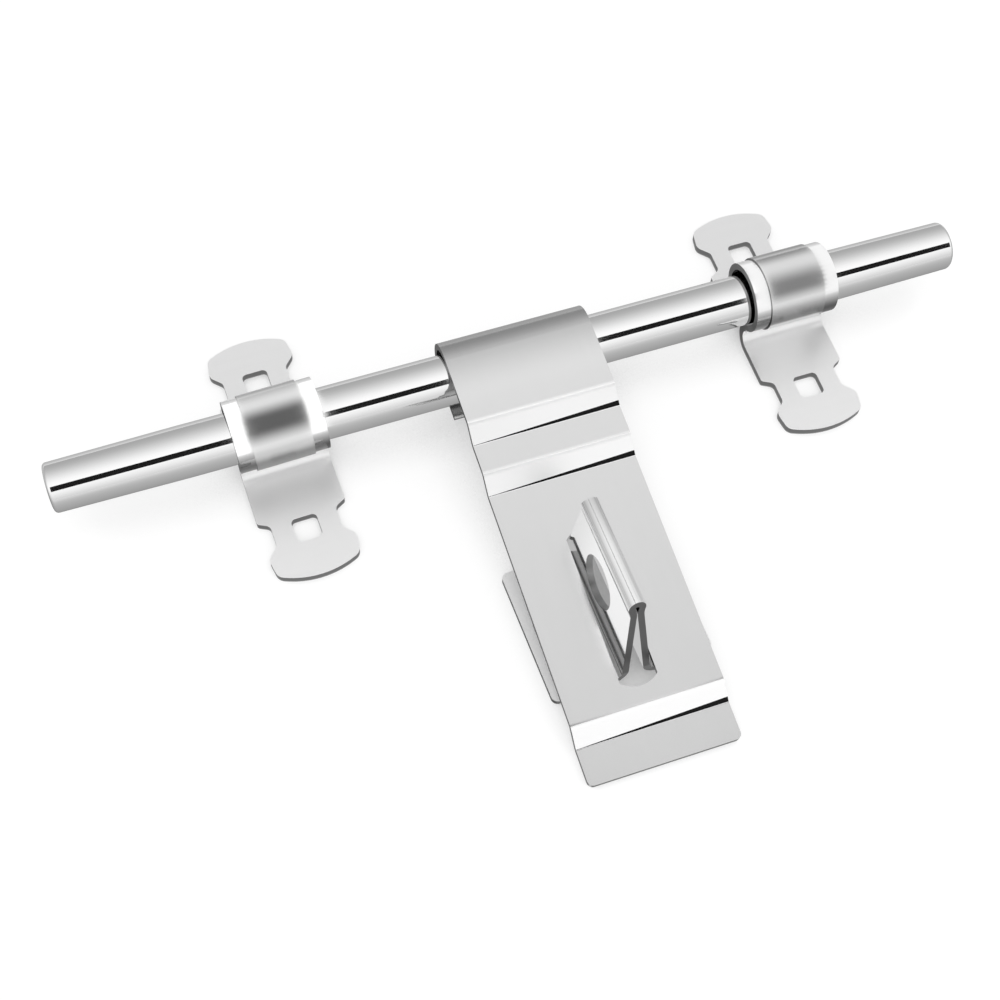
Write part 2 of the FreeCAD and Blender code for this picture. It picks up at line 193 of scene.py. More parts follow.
world = bpy.data.worlds.new("tent")
scene.world = world
world.use_nodes = True
tree = world.node_tree
tree.nodes.clear()
direction = node(tree, "ShaderNodeTexCoord").outputs["Generated"]
across = node(tree, "ShaderNodeVectorMath", {0: direction, 1: (TENT_SIDE, 1, 1)}, operation="MULTIPLY")
unit = node(tree, "ShaderNodeVectorMath", {0: across.outputs[0]}, operation="NORMALIZE")
brightest = (0, -math.sin(TENT_ANGLE), math.cos(TENT_ANGLE))
share = maths(tree, "MULTIPLY_ADD", component(tree, unit.outputs[0], brightest), 0.5, 0.5)
glow = maths(tree, "MULTIPLY_ADD", maths(tree, "POWER", share, TENT_FALL), TENT_RISE, TENT_LOW)
window = Vector(WINDOW_DIRECTION).normalized()
patch = ramp(tree, component(tree, direction, window), WINDOW_EDGE, WINDOW_CORE, 0.0, WINDOW_GLOW)
mirrors = node(tree, "ShaderNodeLightPath").outputs["Glossy Depth"]
glow = maths(tree, "MULTIPLY_ADD", patch, maths(tree, "GREATER_THAN", mirrors, ONE_MIRROR), glow)
sky = node(tree, "ShaderNodeBackground", {"Color": WHITE, "Strength": glow})
node(tree, "ShaderNodeOutputWorld", {"Surface": sky.outputs[0]})
print("tent from", TENT_LOW, "to", TENT_LOW + TENT_RISE)

# %% [markdown]
# The floor is pale and plain. Its own colour is a light grey, and plain white is
# added where the camera or the metal looks at it, so that it reads as white paper
# in both. Close under the pieces most of that white is left out, because little
# studio light gets in there, and the hasp's slot would look lit from below. How
# open the sky is over a place says how much to leave out, so the shade stays
# under the pieces when they move.

# %% Sheets for the studio
def studio_sheet(name, points, faces, material):
    """A sheet of the studio from its corners and faces."""
    mesh = bpy.data.meshes.new(name)
    mesh.from_pydata(points, [], faces)
    mesh.materials.append(material)
    made = bpy.data.objects.new(name, mesh)
    scene.collection.objects.link(made)
    return made


def square(name, half, height, material):
    """A flat square sheet with its middle under the rod."""
    corners = [(-half, -half, height), (half, -half, height), (half, half, height), (-half, half, height)]
    return studio_sheet(name, corners, [(0, 1, 2, 3)], material)


print("studio sheets ready")

# %% The floor
FLOOR_SIZE = 12.0
FLOOR_COLOUR = 0.28
FLOOR_WHITE = 0.78
FLOOR_DROP = 0.0002
SHADE_REACH = 0.06
SHADE_OPENNESS = (0.08, 0.42)
SHADE_DARKEST = 0.30
SHADE_SAMPLES = 4

paper = bpy.data.materials.new("paper")
paper.use_nodes = True
tree = paper.node_tree
tree.nodes.clear()
matt = node(tree, "ShaderNodeBsdfDiffuse", {"Color": (FLOOR_COLOUR,) * 3 + (1,)})
path = node(tree, "ShaderNodeLightPath")
seen = maths(tree, "MAXIMUM", path.outputs["Is Camera Ray"], path.outputs["Is Glossy Ray"])
seen = maths(tree, "MAXIMUM", seen, path.outputs["Is Transmission Ray"])
openness = node(tree, "ShaderNodeAmbientOcclusion", {"Distance": SHADE_REACH}, samples=SHADE_SAMPLES)
lit = ramp(tree, openness.outputs["AO"], *SHADE_OPENNESS, SHADE_DARKEST, 1.0)
added = maths(tree, "MULTIPLY", lit, FLOOR_WHITE)
white = node(tree, "ShaderNodeEmission", {"Strength": maths(tree, "MULTIPLY", seen, added)})
both = node(tree, "ShaderNodeAddShader", {0: matt.outputs[0], 1: white.outputs[0]})
node(tree, "ShaderNodeOutputMaterial", {"Surface": both.outputs[0]})
square("floor", FLOOR_SIZE / 2, -FLOOR_DROP, paper)
print("floor", FLOOR_SIZE, "m wide")

# %% [markdown]
# Black cards hang over the set, each bent round the rod's line at a distance. A
# photographer hangs such flags so that bright round metal gets a crisp dark
# line, which tells the eye that it is round and polished. The rod mirrors each
# place of a card at one place of its own, so a short sum says how long a card
# must be to darken the bare rod and spare the hasp and the guides.

# %% Where the rod mirrors a card
CARD_DISTANCE = 0.30
SEEN_ANGLE = math.radians(30)
ROD_RADIUS = 0.008
rod_low, rod_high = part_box("rod")
rod_height = (rod_low.z + rod_high.z) / 2


def mirrored_at(x, radius):
    """The place along a card that the camera sees mirrored at a place along a round piece."""
    height = rod_height + radius * math.cos(SEEN_ANGLE)
    line = Vector((x, -radius * math.sin(SEEN_ANGLE), height)) - camera.location
    slant = line.x / line.length
    return x + (CARD_DISTANCE - radius) * slant / math.sqrt(1 - slant * slant)


def taken(low, high, radius):
    """The stretch of a card that a piece round the rod takes from the rod's mirror."""
    return mirrored_at(low, radius), mirrored_at(high, 2 * ROD_RADIUS - radius)


end_places = [mirrored_at(x, ROD_RADIUS) for x in (rod_low.x, rod_high.x)]
print("the rod's ends mirror a card at", [round(1000 * x) for x in end_places], "mm")

# %% Card that glows
def card_material(name, brightness):
    """A sheet of card that glows evenly, or is black where its brightness is small."""
    made = bpy.data.materials.new(name)
    made.use_nodes = True
    made.node_tree.nodes.clear()
    glow = node(made.node_tree, "ShaderNodeEmission", {"Color": WHITE, "Strength": brightness})
    node(made.node_tree, "ShaderNodeOutputMaterial", {"Surface": glow.outputs[0]})
    return made


def only_in_mirrors(piece):
    """A stage piece that neither the camera nor the floor's light sees."""
    piece.visible_camera = False
    piece.visible_diffuse = False
    piece.visible_shadow = False


print("card material ready")

# %% A bent card
CARD_FOLDS = 12


def card(name, x_range, angles, material):
    """A card bent round the rod, between two angles from overhead, that only mirrors show."""
    points, faces = [], []
    for fold in range(CARD_FOLDS + 1):
        angle = math.radians(angles[0] + (angles[1] - angles[0]) * fold / CARD_FOLDS)
        for x in x_range:
            points.append((x, -CARD_DISTANCE * math.sin(angle),
                           rod_height + CARD_DISTANCE * math.cos(angle)))
        if fold:
            first = 2 * fold - 2
            faces.append((first, first + 1, first + 3, first + 2))
    only_in_mirrors(studio_sheet(name, points, faces, material))


print("cards have", CARD_FOLDS, "folds")

# %% Black cards over the bare rod
LINE_ANGLES = (27.3, 49.3)
GUIDE_HALF_WIDTH = 0.01375
GUIDE_RADIUS = 0.0125
WRAP_RADIUS = 0.0093
GUIDE_PLACES = {"guide_left": -0.0767, "guide_right": 0.0887}
END_SPARE = 0.03
BLACK_GLOW = 0.012

black_card = card_material("black_card", BLACK_GLOW)
hasp_low, hasp_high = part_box("hasp")
over_guide = {name: taken(x - GUIDE_HALF_WIDTH, x + GUIDE_HALF_WIDTH, GUIDE_RADIUS)
              for name, x in GUIDE_PLACES.items()}
over_hasp = taken(hasp_low.x, hasp_high.x, WRAP_RADIUS)
rod_view = [mirrored_at(x, ROD_RADIUS) for x in (rod_low.x - END_SPARE, rod_high.x + END_SPARE)]
breaks = [rod_view[0], *over_guide["guide_left"], *over_hasp, *over_guide["guide_right"], rod_view[1]]
for index in range(0, len(breaks), 2):
    card(f"flag_line_{index // 2}", breaks[index:index + 2], LINE_ANGLES, black_card)
print("card ends in mm", [round(1000 * x) for x in breaks])

# %% [markdown]
# The card over each hump is graded from white to black and back, so the hump
# shows a broad soft stripe that still ends sharply at its buffed bands. A narrow
# white card at either side of it keeps those bands bright.

# %% Graded cards
GRADED_ANGLES = (-92, 78)
GRADES = {"guide_left": {"white": 0.82, "black": 0.120, "back": (-105, -48, 0.46),
                         "fall": (-46, 2), "rise": (32, 83)},
          "guide_right": {"white": 0.78, "black": 0.235, "back": (-90, -40, 0.28),
                          "fall": (-34, 26), "rise": (42, 84)}}


def graded_card(name, white, black, back, fall, rise):
    """A card whose grey follows the angle from overhead: dark, white, black and white again."""
    made = card_material(name, white)
    tree = made.node_tree
    spot = split(tree, node(tree, "ShaderNodeTexCoord").outputs["Object"])
    forward = maths(tree, "MULTIPLY", spot["Y"], -1.0)
    angle = maths(tree, "ARCTAN2", forward, maths(tree, "SUBTRACT", spot["Z"], rod_height))
    angle = maths(tree, "DEGREES", angle)
    stripe = maths(tree, "MAXIMUM", ramp(tree, angle, *fall, white, black),
                   ramp(tree, angle, *rise, black, white))
    glow = maths(tree, "MINIMUM", stripe, ramp(tree, angle, *back, white))
    tree.links.new(glow, tree.nodes["Emission"].inputs["Strength"])
    return made


print("darkest greys", {name: grade["black"] for name, grade in GRADES.items()})

# %% The cards over each guide
WHITE_ANGLES = (-92, 93)
BAND_LIGHT = {"guide_left": 1.2, "guide_right": 0.95}
BAND_WIDTH = 0.0048
HUMP_SPARE = 0.0003

reach = GUIDE_HALF_WIDTH - BAND_WIDTH + HUMP_SPARE
for name, centre in GUIDE_PLACES.items():
    inner = [mirrored_at(centre + side * reach, GUIDE_RADIUS) for side in (-1, 1)]
    outer = over_guide[name]
    card(f"graded_{name}", inner, GRADED_ANGLES, graded_card(f"graded_{name}", **GRADES[name]))
    white_card = card_material(f"white_{name}", BAND_LIGHT[name])
    card(f"white_{name}_left", (outer[0], inner[0]), WHITE_ANGLES, white_card)
    card(f"white_{name}_right", (inner[1], outer[1]), WHITE_ANGLES, white_card)
print("graded cards over", sorted(GRADES))

# %% [markdown]
# Under the bolt lies a grey runner, darker towards the rod. It makes the under
# sides of everything round go grey, as in a photograph where the object shades
# the paper that it mirrors. Only mirrors see it, so the paper itself stays white.

# %% The runner
RUNNER_HALF_SIZE = 1.4
RUNNER_HEIGHT = 0.0004
RUNNER_UNIT = 0.017
RUNNER_GREY = 0.45
RUNNER_RISE = 0.22
RUNNER_BRIGHTEST = 0.78

runner = card_material("runner_grey", RUNNER_BRIGHTEST)
tree = runner.node_tree
spot = split(tree, node(tree, "ShaderNodeTexCoord").outputs["Object"])
away = maths(tree, "DIVIDE", maths(tree, "ABSOLUTE", spot["Y"]), RUNNER_UNIT)
glow = maths(tree, "MULTIPLY", maths(tree, "POWER", away, RUNNER_RISE), RUNNER_GREY)
tree.links.new(maths(tree, "MINIMUM", glow, RUNNER_BRIGHTEST), tree.nodes["Emission"].inputs["Strength"])
only_in_mirrors(square("runner", RUNNER_HALF_SIZE, RUNNER_HEIGHT, runner))
print("rod axis", round(1000 * rod_height, 2), "mm over the door")

# %% [markdown]
# ## What bare steel has on it
#
# Even clean stainless steel is never one flat grey. The polishing belt leaves
# fine parallel lines, and the sheet is a little uneven, so highlights waver.
# Both effects are used by every finish, so each is a node group that is built
# once and gets its own values in each material.

# %% Belt grain, a node group
BROAD_SCALE = 0.17
BROAD_SHARE = 0.6


def group(name, inputs, outputs):
    """An empty shader group with float or vector inputs and float outputs."""
    made = bpy.data.node_groups.new(name, "ShaderNodeTree")
    for title, kind, value in inputs:
        socket = made.interface.new_socket(title, in_out="INPUT", socket_type=kind)
        socket.default_value = value
    for title in outputs:
        made.interface.new_socket(title, in_out="OUTPUT", socket_type="NodeSocketFloat")
    return made, made.nodes.new("NodeGroupInput").outputs, made.nodes.new("NodeGroupOutput").inputs


belt_grain, given, result = group(
    "belt_grain",
    [("Position", "NodeSocketVector", (0, 0, 0)),
     ("Stretch", "NodeSocketVector", (1, 1, 1)),
     ("Lines per metre", "NodeSocketFloat", 4000)],
    ["Height", "Tone"])
stretched = node(belt_grain, "ShaderNodeVectorMath", {0: given["Position"], 1: given["Stretch"]},
                 operation="MULTIPLY")
fine = noise(belt_grain, stretched.outputs[0], given["Lines per metre"], detail=3, roughness=0.6)
broad_scale = maths(belt_grain, "MULTIPLY", given["Lines per metre"], BROAD_SCALE)
broad = noise(belt_grain, stretched.outputs[0], broad_scale, detail=2, roughness=0.5)
belt_grain.links.new(fine, result["Height"])
belt_grain.links.new(mixed(belt_grain, BROAD_SHARE, fine, broad), result["Tone"])
print("group", belt_grain.name)

# %% Uneven sheet, a node group
SMALL_SCALE = 6.5
SMALL_SHARE = 0.35

uneven, given, result = group(
    "uneven_sheet",
    [("Position", "NodeSocketVector", (0, 0, 0)),
     ("Patches per metre", "NodeSocketFloat", 60)],
    ["Tone"])
wide = noise(uneven, given["Position"], given["Patches per metre"], detail=2, roughness=0.45)
small_scale = maths(uneven, "MULTIPLY", given["Patches per metre"], SMALL_SCALE)
small = noise(uneven, given["Position"], small_scale, detail=3, roughness=0.5)
uneven.links.new(mixed(uneven, SMALL_SHARE, wide, small), result["Tone"])
print("group", uneven.name)

# %% [markdown]
# A sheared edge of sheet metal isn't polished: it is duller than the faces, and
# its colour is painted darker as shade. Which faces are cut is plain from the way
# they point, seen in the piece's own axes, so one more group turns a normal into
# a mask for them.

# %% Cut edges, a node group
CUT_FACING = (0.75, 0.95)

cut_edges, given, result = group(
    "cut_edges",
    [("Normal", "NodeSocketVector", (0, 0, 1)),
     ("Direction", "NodeSocketVector", (1, 0, 0))],
    ["Mask"])
facing = maths(cut_edges, "ABSOLUTE", component(cut_edges, given["Normal"], given["Direction"]))
cut_edges.links.new(ramp(cut_edges, facing, *CUT_FACING), result["Mask"])


def cut_mask(tree, place, direction):
    """Where a piece was sheared, for the way in which its cut faces point."""
    return node(tree, "ShaderNodeGroup", {"Normal": place["Normal"], "Direction": direction},
                node_tree=cut_edges).outputs["Mask"]


print("group", cut_edges.name)

# %% [markdown]
# ## The finishes
#
# Every finish is the Principled shader with Metallic at 1. Its Base Color is the
# brightness of the steel, with painted shade and painted highlights in places,
# and its Roughness says how far the polishing went. The groups only vary these a
# little: each piece has one small amount for how its brightness wavers and one
# for its roughness. A short function builds the common part, and each piece then
# adds what is special to it.

# %% A common steel
def steel(name, stretch, lines, patches):
    """A metal material with its grain and its unevenness in place, ready for the finish."""
    made = bpy.data.materials.new(name)
    made.use_nodes = True
    tree = made.node_tree
    tree.nodes.clear()
    place = node(tree, "ShaderNodeTexCoord")
    grain = node(tree, "ShaderNodeGroup", node_tree=belt_grain)
    tree.links.new(place.outputs["Object"], grain.inputs["Position"])
    grain.inputs["Stretch"].default_value = stretch
    grain.inputs["Lines per metre"].default_value = lines
    waves = node(tree, "ShaderNodeGroup", node_tree=uneven)
    tree.links.new(place.outputs["Object"], waves.inputs["Position"])
    waves.inputs["Patches per metre"].default_value = patches
    shader = node(tree, "ShaderNodeBsdfPrincipled", {"Metallic": 1.0})
    node(tree, "ShaderNodeOutputMaterial", {"Surface": shader.outputs[0]})
    return made, tree, place.outputs, grain.outputs, waves.outputs, shader.inputs


print("common steel ready")

# %% Small parts of every finish
GRAIN_TONE = 0.03
WAVER = {"rod": (0.02, 0.03), "guide": (0.03, 0.03), "hasp": (0.04, 0.06), "staple": (0.03, 0.04)}
CUT_ROUGHNESS = 0.4


def grey(tree, value):
    """A grey colour from a value."""
    return node(tree, "ShaderNodeCombineColor", {"Red": value, "Green": value, "Blue": value}).outputs[0]


def varied(tree, value, tone, amount):
    """A value that wavers by an amount with a tone whose middle is 0.5."""
    return maths(tree, "MULTIPLY_ADD", maths(tree, "SUBTRACT", tone, 0.5), amount, value)


def relief(tree, shader, height, depth):
    """A bump of a real depth in metres; the node is handed back for what else it needs."""
    bump = node(tree, "ShaderNodeBump", {"Strength": 1.0, "Distance": depth, "Height": height})
    tree.links.new(bump.outputs[0], shader["Normal"])
    return bump


print("steel wavers by", WAVER)

# %% [markdown]
# The rod is bright drawn bar. It was polished along its length, so its grain is
# long and very fine, and its two ends were faced on a lathe, which leaves rings.

# %% Rod
ROD_BRIGHTNESS = 0.81
ROD_ROUGHNESS = 0.055
END_ROUGHNESS = 0.24
END_START = rod_high.x - 4e-4
END_FULL = rod_high.x - 5e-5
END_RINGS_PER_METRE = 9000
ROD_RELIEF = 6e-7

rod_steel, tree, place, grain, waves, shader = steel("rod_steel", stretch=(0.004, 1, 1),
                                                     lines=3000, patches=35)
spot = split(tree, place["Object"])
radius = distance(tree, spot["Y"], maths(tree, "SUBTRACT", spot["Z"], rod_height))
end_face = ramp(tree, maths(tree, "ABSOLUTE", spot["X"]), END_START, END_FULL)
rings = maths(tree, "SINE", maths(tree, "MULTIPLY", radius, END_RINGS_PER_METRE))
brightness = varied(tree, ROD_BRIGHTNESS, grain["Tone"], GRAIN_TONE)
brightness = varied(tree, brightness, waves["Tone"], WAVER["rod"][0])
tree.links.new(grey(tree, brightness), shader["Base Color"])
roughness = varied(tree, ROD_ROUGHNESS, waves["Tone"], WAVER["rod"][1])
roughness = mixed(tree, end_face, roughness, END_ROUGHNESS)
tree.links.new(roughness, shader["Roughness"])
relief(tree, shader, mixed(tree, end_face, grain["Height"], rings), ROD_RELIEF)
print("rod finish", ROD_BRIGHTNESS, ROD_ROUGHNESS)

# %% [markdown]
# The rod's shape follows one rule: straight bar in the middle, drawn down a
# little over the last stretch, with a quarter round at each rim. Geometry Nodes
# suit that. A plain cylinder two units long has its rings moved out to where the
# rule puts them, by how far each is from the middle, so the whole rod follows
# from five sizes and stays smooth enough to mirror a straight line.

# %% The rule for the rod
ROD_SIZES = {"Length": rod_high.x - rod_low.x, "Diameter": 0.016, "End diameter": 0.0153,
             "Taper length": 0.040, "Rim round": 0.0012, "Axis height": rod_height}
ROD_SIDES = 128
RIM_RINGS = 8
ROD_RINGS = RIM_RINGS + 2
FLAT_END = 0.999

bar = bpy.data.node_groups.new("drawn_bar", "GeometryNodeTree")
bar.interface.new_socket("Geometry", in_out="OUTPUT", socket_type="NodeSocketGeometry")
for name in ROD_SIZES:
    bar.interface.new_socket(name, in_out="INPUT", socket_type="NodeSocketFloat")
given = bar.nodes.new("NodeGroupInput").outputs
result = bar.nodes.new("NodeGroupOutput").inputs
print("rod sizes in mm", {name: round(1000 * size, 2) for name, size in ROD_SIZES.items()})

# %% Rings moved by the rule
blank = node(bar, "GeometryNodeMeshCylinder", {"Vertices": ROD_SIDES, "Side Segments": 2 * ROD_RINGS,
                                               "Radius": 1.0, "Depth": 2.0}, fill_type="TRIANGLE_FAN")
spot = split(bar, node(bar, "GeometryNodeInputPosition").outputs[0])
ring = maths(bar, "ABSOLUTE", spot["Z"])
taper_start = maths(bar, "SUBTRACT", maths(bar, "MULTIPLY", given["Length"], 0.5), given["Taper length"])
taper_run = maths(bar, "SUBTRACT", given["Taper length"], given["Rim round"])
narrowing = maths(bar, "MULTIPLY", maths(bar, "SUBTRACT", given["Diameter"], given["End diameter"]), 0.5)
first, second = 1 / ROD_RINGS, 2 / ROD_RINGS
bend = between(bar, ring, second, 1.0, 0.0, math.pi / 2)
reach = maths(bar, "ADD", between(bar, ring, 0.0, first, 0.0, taper_start),
              between(bar, ring, first, second, 0.0, taper_run))
reach = maths(bar, "MULTIPLY_ADD", maths(bar, "SINE", bend), given["Rim round"], reach)
radius = maths(bar, "SUBTRACT", maths(bar, "MULTIPLY", given["Diameter"], 0.5),
               between(bar, ring, first, second, 0.0, narrowing))
rounding = maths(bar, "MULTIPLY", maths(bar, "SUBTRACT", 1.0, maths(bar, "COSINE", bend)),
                 given["Rim round"])
radius = maths(bar, "SUBTRACT", radius, rounding)
moved = node(bar, "ShaderNodeCombineXYZ", {
    "X": maths(bar, "MULTIPLY", maths(bar, "SIGN", spot["Z"]), reach),
    "Y": maths(bar, "MULTIPLY", spot["X"], radius),
    "Z": maths(bar, "MULTIPLY_ADD", spot["Y"], radius, given["Axis height"])})
shaped = node(bar, "GeometryNodeSetPosition", {"Geometry": blank.outputs["Mesh"],
                                               "Position": moved.outputs[0]})
faced = split(bar, node(bar, "GeometryNodeInputNormal").outputs[0])
round_side = maths(bar, "LESS_THAN", maths(bar, "ABSOLUTE", faced["X"]), FLAT_END)
smooth = node(bar, "GeometryNodeSetShadeSmooth", {"Geometry": shaped.outputs[0], "Selection": round_side,
                                                  "Shade Smooth": True})
plain = node(bar, "GeometryNodeRealizeInstances", {0: smooth.outputs[0]})
finished = node(bar, "GeometryNodeSetMaterial", {"Geometry": plain.outputs[0], "Material": rod_steel})
bar.links.new(finished.outputs[0], result["Geometry"])
print("nodes in the tree", len(bar.nodes))

# %% [markdown]
# A modifier's input is reached by its socket's identifier. The result is turned
# into a plain mesh, and the modifier goes, so that the piece exports as it is.

# %% The rod as a plain mesh
def plain_mesh(name, tree, sizes):
    """The mesh that a Geometry Nodes tree makes from named sizes, as a finished object."""
    made = bpy.data.objects.new(name, bpy.data.meshes.new(name + "_blank"))
    scene.collection.objects.link(made)
    modifier = made.modifiers.new(name, "NODES")
    modifier.node_group = tree
    sockets = {item.name: item.identifier for item in tree.interface.items_tree if item.in_out == "INPUT"}
    for title, size in sizes.items():
        modifier[sockets[title]] = float(size)
    bpy.context.view_layer.update()
    evaluated = made.evaluated_get(bpy.context.evaluated_depsgraph_get())
    mesh = bpy.data.meshes.new_from_object(evaluated)
    made.modifiers.clear()
    made.data = mesh
    return made


rod_bar = plain_mesh("rod_bar", bar, ROD_SIZES)
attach(rod_bar, "rod")
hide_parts("rod")
print("rod has", len(rod_bar.data.polygons), "faces")

# %% [markdown]
# A guide is pressed from strip. Its hump was brushed along the rod, so it blurs
# what it mirrors round the hump but not along it: anisotropy, with a tangent
# that runs round the rod's direction. The two narrow bands at the ends of the
# hump were buffed bright, and the flanges have a soft satin finish. The sheared
# walls of the plate are dull, and painted darker as shade. Painted shade also
# darkens the upper flange, the back and the lower walls of the hump, and the
# lower part of each band. The left guide stands a little aslant on the door.
# Its normals are turned square to the rod for the shading, so that both humps
# mirror the cards over them in the same way.

# %% Where the finishes of a guide meet
HUMP_FOOT = (0.0075, 0.0087)
BAND_START = GUIDE_HALF_WIDTH - BAND_WIDTH
BAND_BLUR = 1e-4
WALL_FACING = 0.4
SHEET_TOP = 0.00255


def guide_masks(tree, place, middle, turn):
    """Where a guide is raised, where its buffed bands are and where it was sheared."""
    across = (math.cos(turn), math.sin(turn), 0)
    spot = split(tree, place["Object"])
    beside = maths(tree, "SUBTRACT", component(tree, place["Object"], across), middle * math.cos(turn))
    raised = ramp(tree, spot["Z"], *HUMP_FOOT)
    band = ramp(tree, maths(tree, "ABSOLUTE", beside), BAND_START - BAND_BLUR, BAND_START + BAND_BLUR)
    steepness = maths(tree, "ABSOLUTE", split(tree, place["Normal"])["Z"])
    upright = maths(tree, "LESS_THAN", steepness, WALL_FACING)
    walls = maths(tree, "MULTIPLY", upright, maths(tree, "LESS_THAN", spot["Z"], SHEET_TOP))
    sheared = maths(tree, "MAXIMUM", cut_mask(tree, place, across), walls)
    return spot, raised, maths(tree, "MULTIPLY", raised, band), sheared


print("a band is", 1000 * BAND_WIDTH, "mm wide")

# %% Brightness and painted shade of a guide
FLANGE_BRIGHTNESS = {"guide_left": 1.0, "guide_right": 0.98}
UPPER_FLANGE_SHADED_BRIGHTNESS = 0.92
HUMP_BRIGHTNESS = 0.90
BAND_SHADED_BRIGHTNESS = (0.16, 0.98)
BAND_FOOT_BRIGHTNESS = 0.8
GUIDE_CUT_SHADED_BRIGHTNESS = 0.28
UPPER_SIDE = (-0.004, 0.004)
BACK_SHADE_SIDE = (0.0052, 0.0082)
BACK_SHADE = {"guide_left": 0.40, "guide_right": 0.58}
WALL_SHADE = {"guide_left": 0.60, "guide_right": 0.66}
WALL_SHADE_TOP = {"guide_left": 0.0228, "guide_right": 0.0262}
WALL_SHADE_FOOT = {"guide_left": 0.0040, "guide_right": 0.0160}
WALL_MIDDLE = 0.0176
WALL_TURN = 0.0186
BAND_TOP = 0.0252
BAND_FOOT = (0.0112, 0.0128)


def guide_brightness(tree, name, spot, raised, band):
    """How light a guide's steel is, with the flat ends, the bends, the hump and the bands apart, and
    painted shade on the upper flange, the hump's back and lower walls and the bands' lower parts.
    """
    # Painted shade: the upper flange is a little darker than the lower one.
    upper = ramp(tree, spot["Y"], *UPPER_SIDE)
    flat = mixed(tree, upper, FLANGE_BRIGHTNESS[name], UPPER_FLANGE_SHADED_BRIGHTNESS)
    # Painted shade: the back of the hump is darker.
    back_shade = ramp(tree, spot["Y"], *BACK_SHADE_SIDE, 0.0, BACK_SHADE[name])
    hump = maths(tree, "MULTIPLY_ADD", back_shade, -HUMP_BRIGHTNESS, HUMP_BRIGHTNESS)
    sheet = mixed(tree, raised, flat, hump)
    # Painted shade on the hump's lower walls.
    down_wall = ramp(tree, spot["Z"], WALL_SHADE_TOP[name], WALL_TURN)
    up_wall = ramp(tree, spot["Z"], WALL_SHADE_FOOT[name], WALL_MIDDLE, 0.0, WALL_SHADE[name])
    shade_loss = maths(tree, "MULTIPLY", down_wall, up_wall)
    sheet = maths(tree, "MULTIPLY", sheet, maths(tree, "SUBTRACT", 1.0, shade_loss))
    # Painted shade: each band darkens towards its lower part, with its foot lighter again.
    band_shaded = ramp(tree, spot["Z"], WALL_MIDDLE, BAND_TOP, *BAND_SHADED_BRIGHTNESS)
    band_shaded = mixed(tree, ramp(tree, spot["Z"], *BAND_FOOT), BAND_FOOT_BRIGHTNESS, band_shaded)
    return mixed(tree, band, sheet, band_shaded)


print("guide brightness ready")

# %% Guides
HUMP_ROUGHNESS = 0.10
WALL_ROUGHNESS = 0.22
FLANGE_ROUGHNESS = 0.45
BAND_ROUGHNESS = 0.08
LOWER_HUMP = (0.0215, 0.0238)
GUIDE_RELIEF = 5e-7
GUIDE_TURNS = {"guide_left": math.radians(1.3), "guide_right": 0.0}


def guide_steel(name):
    """The finish of one guide, laid out from its place along the rod."""
    made, tree, place, grain, waves, shader = steel(name + "_steel", stretch=(0.02, 1, 1),
                                                    lines=2600, patches=45)
    spot, raised, band, sheared = guide_masks(tree, place, GUIDE_PLACES[name], GUIDE_TURNS[name])
    brightness = guide_brightness(tree, name, spot, raised, band)
    brightness = varied(tree, brightness, grain["Tone"], GRAIN_TONE)
    brightness = varied(tree, brightness, waves["Tone"], WAVER["guide"][0])
    # Painted shade: the sheared walls are darker, as well as duller.
    brightness = mixed(tree, sheared, brightness, GUIDE_CUT_SHADED_BRIGHTNESS)
    tree.links.new(grey(tree, brightness), shader["Base Color"])
    hump_roughness = ramp(tree, spot["Z"], *LOWER_HUMP, WALL_ROUGHNESS, HUMP_ROUGHNESS)
    roughness = mixed(tree, raised, FLANGE_ROUGHNESS, hump_roughness)
    roughness = mixed(tree, band, roughness, BAND_ROUGHNESS)
    roughness = varied(tree, roughness, waves["Tone"], WAVER["guide"][1])
    roughness = mixed(tree, sheared, roughness, CUT_ROUGHNESS)
    tree.links.new(roughness, shader["Roughness"])
    tree.links.new(raised, shader["Anisotropic"])
    tangent = node(tree, "ShaderNodeTangent", direction_type="RADIAL", axis="X")
    tree.links.new(tangent.outputs[0], shader["Tangent"])
    bump = relief(tree, shader, grain["Height"], GUIDE_RELIEF)
    normal = node(tree, "ShaderNodeNewGeometry").outputs["Normal"]
    square_on = node(tree, "ShaderNodeVectorRotate", {"Vector": normal, "Angle": -GUIDE_TURNS[name]},
                     rotation_type="Z_AXIS")
    tree.links.new(square_on.outputs[0], bump.inputs["Normal"])
    return made


guide_finishes = {name: guide_steel(name) for name in GUIDE_PLACES}
print("guide finishes", sorted(guide_finishes))

# %% [markdown]
# The hasp is a flat plate with three steps. The flat lands are satin and the
# slopes of the steps were buffed, and their colour is painted near white as a
# highlight, so they flash white. In the corner under each slope a thin dark
# line of painted shade is drawn, and it grows wider towards one side. The
# sheet is painted darker as shade on the fold round the rod, most of all under
# it and on its short tail, and it darkens a little towards the tip. Nearly all
# of it is found from one number: how far out along the leaf a point lies,
# measured on the leaf's own slant.

# %% Places along the hasp
HASP_LEAN = math.radians(5.609)
STEP_RUN = 0.00575
STEP_STARTS = (0.01981, 0.03506, 0.11359)
LEAF_LENGTH = 0.1306
UPWARD = (0.3, 0.5)
SLOPING = (-0.3, -0.42)

hasp_steel, tree, place, grain, waves, shader = steel("hasp_steel", stretch=(1, 0.02, 1),
                                                      lines=2600, patches=30)
spot = split(tree, place["Object"])
facing = split(tree, place["Normal"])
lifted = maths(tree, "SUBTRACT", spot["Z"], rod_height)
along_leaf = maths(tree, "MULTIPLY_ADD", spot["Y"], -math.cos(HASP_LEAN),
                   maths(tree, "MULTIPLY", lifted, -math.sin(HASP_LEAN)))
upward = ramp(tree, facing["Z"], *UPWARD)
slope = maths(tree, "MULTIPLY", upward, ramp(tree, facing["Y"], *SLOPING))
print("steps start at", [round(1000 * start, 1) for start in STEP_STARTS], "mm from the rod")

# %% Painted shade lines under the slopes
CREASE_X = (-0.0225, 0.0232)
CREASE_SHADE_WIDTH = (0.0001, 0.0013)
CREASE_SHIFT = 0.0003
